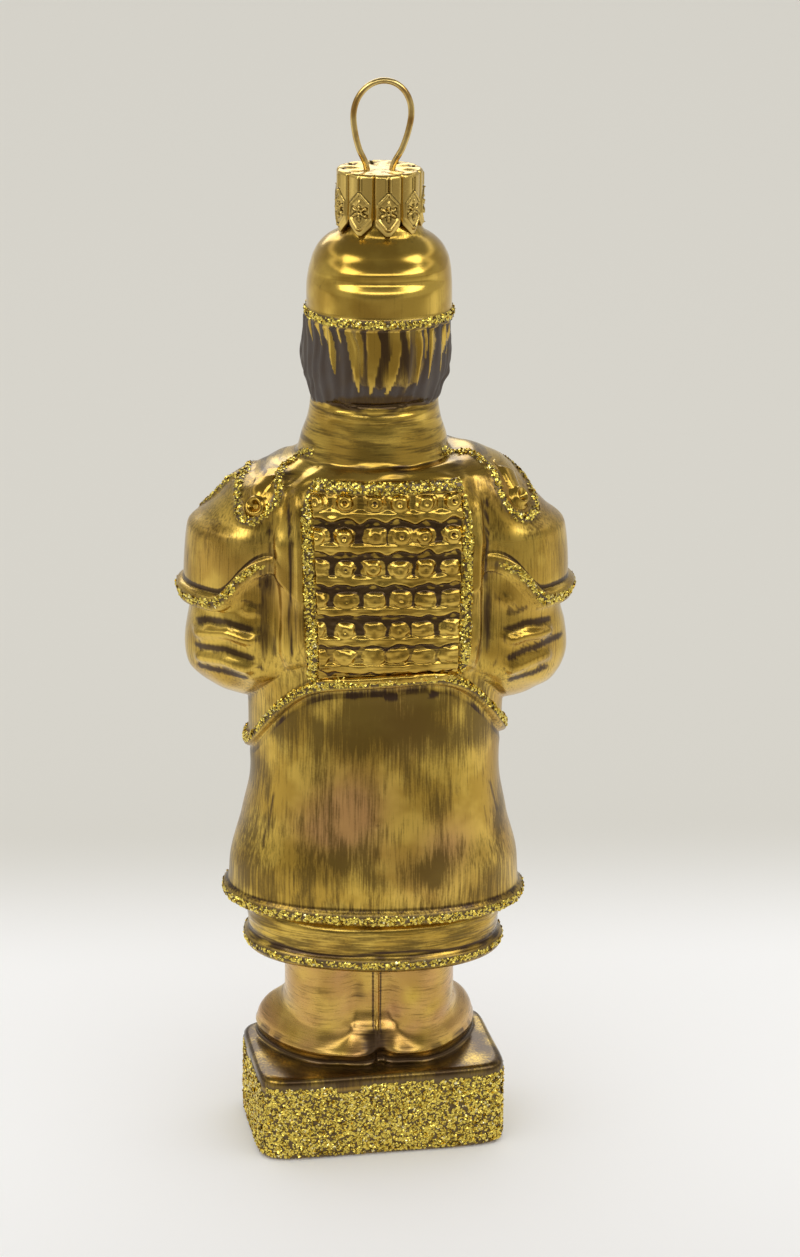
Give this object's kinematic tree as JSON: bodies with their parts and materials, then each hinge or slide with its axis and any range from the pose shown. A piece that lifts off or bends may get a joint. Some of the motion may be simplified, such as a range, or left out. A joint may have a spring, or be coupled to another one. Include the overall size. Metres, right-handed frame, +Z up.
{
  "type": "blown glass figural ornament",
  "caption": "Gold-lacquered blown glass ornament of an ancient soldier in scale armour on a glittered block, with a stamped cap and wire hanging loop.",
  "frame": {"origin": "on the block's underside, straight below the middle of the crown and its cap", "axes": "+Z up along the figure, -Y the way he faces, +X towards his left hand"},
  "size_m": [0.0524, 0.0328, 0.1431],
  "materials": {
    "lacquered_glass": "opaque gold lacquer over silvered glass, brown antiquing in the recesses",
    "stamped_cap": "bright stamped foil-thin metal",
    "spring_wire": "polished wire",
    "glitter": "gold glitter flakes in clear glue"
  },
  "bodies": {
    "root": {"glass_figure": "lacquered_glass", "metal_cap": "stamped_cap", "wire_loop": "spring_wire"}
  },
  "joints": []
}
